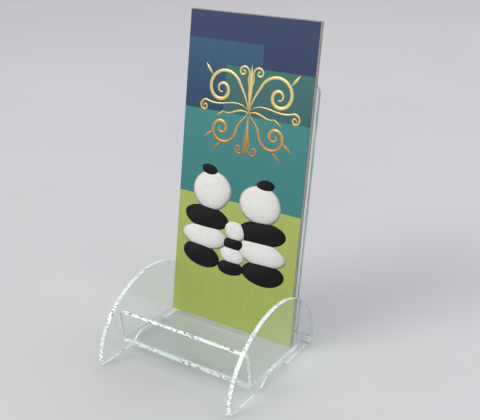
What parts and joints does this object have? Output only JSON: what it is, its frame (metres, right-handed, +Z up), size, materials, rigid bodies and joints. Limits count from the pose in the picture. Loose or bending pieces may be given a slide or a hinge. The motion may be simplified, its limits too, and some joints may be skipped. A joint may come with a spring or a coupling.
{
  "type": "photo album stand",
  "caption": "Clear acrylic desk stand: half-moon side panels join a shelf, a low lip and a leaning back, where a slim tall album stands and lifts out.",
  "frame": {"origin": "on the ground, midway between the foremost and the rearmost point and midway across the width", "axes": "+Z up, +X to the right seen from the front, the front and its lip face -Y"},
  "size_m": [0.106, 0.1186, 0.216],
  "materials": {
    "clear_acrylic": "clear polished acrylic with brighter sawn edges",
    "cover_print": "satin printed sheet in teal, blue and green blocks with gold foil",
    "cover_board": "grey bookbinding board, matte",
    "album_leaf": "pale grey card, matte"
  },
  "bodies": {
    "stand": {"left_side_panel": "clear_acrylic", "right_side_panel": "clear_acrylic", "shelf_panel": "clear_acrylic", "lip_panel": "clear_acrylic", "back_panel": "clear_acrylic", "rear_cross_bar": "clear_acrylic"},
    "album": {"album_cover_print": "cover_print", "album_front_cover": "cover_board", "album_back_cover": "cover_board", "album_spine": "cover_board", "album_leaf_1": "album_leaf", "album_leaf_2": "album_leaf", "album_leaf_3": "album_leaf", "album_leaf_4": "album_leaf"}
  },
  "joints": [
    {"name": "album_lift", "type": "slide", "parent": "stand", "child": "album", "axis": [0, 0.1925, 0.9813], "range_m": [0, 0.18]}
  ]
}
